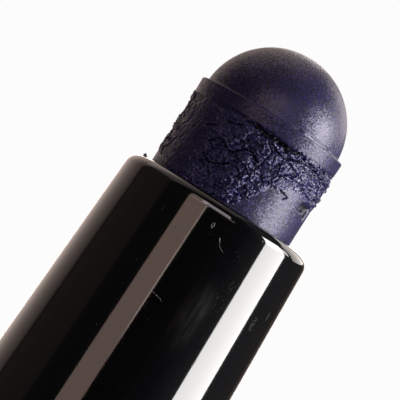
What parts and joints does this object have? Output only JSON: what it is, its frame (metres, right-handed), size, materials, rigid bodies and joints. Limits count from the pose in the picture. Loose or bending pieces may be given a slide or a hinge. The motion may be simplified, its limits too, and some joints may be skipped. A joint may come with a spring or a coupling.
{
  "type": "twist-up colour stick",
  "caption": "Slim twist-up stick: a domed cream stick stands out of a tapered glossy black tube, fed by a left-handed screw inside when the knob at the foot is turned.",
  "frame": {"origin": "centre of the foot, in the plane of the flat ring that the knob stands on", "axes": "+Z along the axis towards the domed tip; X is square to the two flats of the feed screw, and Y lies along them"},
  "size_m": [0.0126, 0.0126, 0.0957],
  "materials": {
    "gloss_black": "polished black moulding",
    "satin_metal": "satin turned ring",
    "violet_cream": "waxy dark violet with a fine pearl",
    "natural_pom": "natural white moulding",
    "grey_pom": "grey moulding",
    "seal_rubber": "smooth rubber",
    "brass": "turned brass",
    "white_film": "blank matt film"
  },
  "bodies": {
    "barrel": {"front_tube": "gloss_black", "body_shell": "gloss_black", "shoulder_ring": "satin_metal", "key_bush": "grey_pom", "thrust_washer": "natural_pom", "bearing_bush": "natural_pom"},
    "knob": {"knob_shell": "gloss_black", "knob_ring": "satin_metal", "end_disc": "violet_cream", "shade_label": "white_film", "drive_tube": "natural_pom", "drive_plug": "grey_pom", "feed_nut": "brass", "upper_o_ring": "seal_rubber", "lower_o_ring": "seal_rubber"},
    "feed": {"colour_stick": "violet_cream", "stick_cup": "grey_pom", "cup_seal": "seal_rubber", "feed_screw": "natural_pom", "screw_clip": "satin_metal"}
  },
  "joints": [
    {"name": "stick_feed", "type": "slide", "parent": "barrel", "child": "feed", "axis": [0, 0, 1], "range_m": [-0.0095, 0.0208]},
    {"name": "knob_turn", "type": "hinge", "parent": "barrel", "child": "knob", "pos_m": [0, 0, 0.03], "axis": [0, 0, 1], "range_deg": [-1140.5, 2496.5]}
  ],
  "couplings": [
    {"joint": "knob_turn", "follows": "stick_feed", "rad_per_m": 2094.4}
  ]
}
